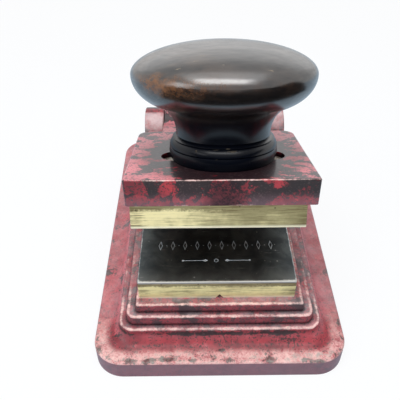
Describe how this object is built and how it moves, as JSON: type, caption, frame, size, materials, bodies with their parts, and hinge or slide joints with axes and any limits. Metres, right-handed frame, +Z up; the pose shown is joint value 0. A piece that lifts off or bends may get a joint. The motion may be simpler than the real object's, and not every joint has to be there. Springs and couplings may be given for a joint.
{
  "type": "seal embosser",
  "caption": "Hand-press seal embosser: stepped cast base, hinged arm with a turned palm knob, and facing brass-backed dies held apart by a leaf spring.",
  "frame": {"origin": "centre of the base's underside", "axes": "+Z up, +Y towards the hinge at the back, +X to the right seen from the front"},
  "size_m": [0.1, 0.152, 0.1152],
  "materials": {
    "enamel_red_black": "worn crimson enamel with black mottling",
    "brass": "machined brass, darkened",
    "die_steel": "blued die plate with bright edges and fine engraving",
    "ebonised_wood": "black polished turning, rubbed brown at the edge",
    "screw_steel": "turned steel",
    "spring_steel": "blued spring strip",
    "leather_counter": "thin pressed leather board"
  },
  "bodies": {
    "base": {"base_casting": "enamel_red_black", "hinge_pin": "screw_steel", "hinge_lock_screw": "screw_steel", "lower_die_block": "brass", "lower_die_face": "die_steel", "lower_die_screws": "screw_steel", "locating_key": "screw_steel", "leaf_spring": "spring_steel", "spring_clamp": "screw_steel", "spring_screws": "screw_steel", "stop_screw": "screw_steel", "stop_nut": "screw_steel"},
    "arm": {"arm_casting": "enamel_red_black", "hinge_bush_left": "brass", "hinge_bush_right": "brass", "upper_die_block": "brass", "counter_pad": "leather_counter", "upper_die_screws": "screw_steel", "knob": "ebonised_wood", "knob_insert": "brass", "knob_bolt": "screw_steel", "knob_washer": "screw_steel"}
  },
  "joints": [
    {"name": "arm_hinge", "type": "hinge", "parent": "base", "child": "arm", "pos_m": [0, 0.0305, 0.0472], "axis": [1, 0, 0], "range_deg": [0, 18], "stiffness_Nm_per_rad": 2, "springref_deg": -14.9, "deforming": ["leaf_spring"]}
  ]
}
